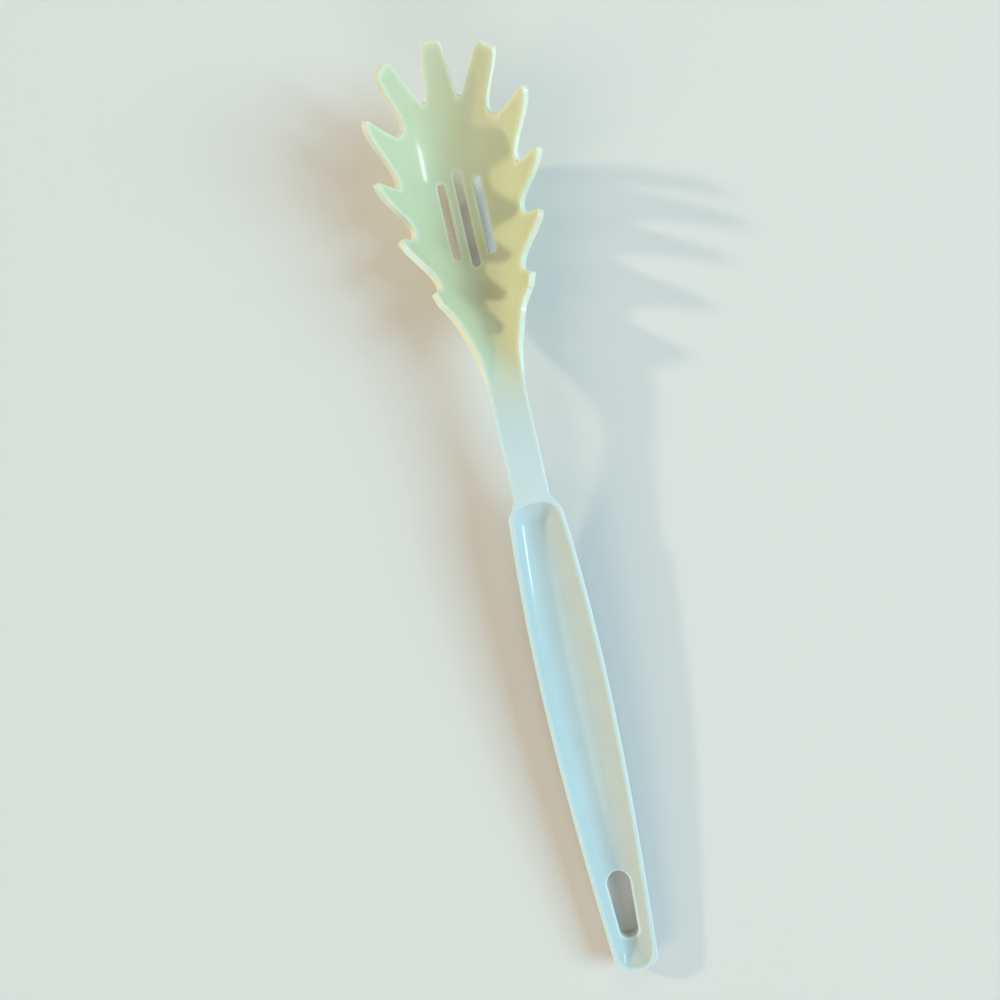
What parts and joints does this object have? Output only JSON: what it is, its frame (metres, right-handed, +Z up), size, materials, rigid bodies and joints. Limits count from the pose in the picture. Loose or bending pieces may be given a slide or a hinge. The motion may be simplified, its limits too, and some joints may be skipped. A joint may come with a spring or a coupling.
{
  "type": "pasta server",
  "caption": "Glossy one-piece plastic pasta server with a toothed, slotted bowl and a dished handle with a hanging hole.",
  "frame": {"origin": "centre of the bounding box at its bottom, with the server lying on its back", "axes": "+Y from the handle towards the tines, +Z up out of the open bowl, +X across"},
  "size_m": [0.0538, 0.3062, 0.0318],
  "materials": {
    "server": "gloss"
  },
  "bodies": {
    "root": {"handle": "server", "neck": "server", "bowl": "server", "centre_tine": "server", "left_tine_1": "server", "left_tine_2": "server", "left_tine_3": "server", "left_tine_4": "server", "left_tine_5": "server", "right_tine_1": "server", "right_tine_2": "server", "right_tine_3": "server", "right_tine_4": "server", "right_tine_5": "server"}
  },
  "joints": []
}
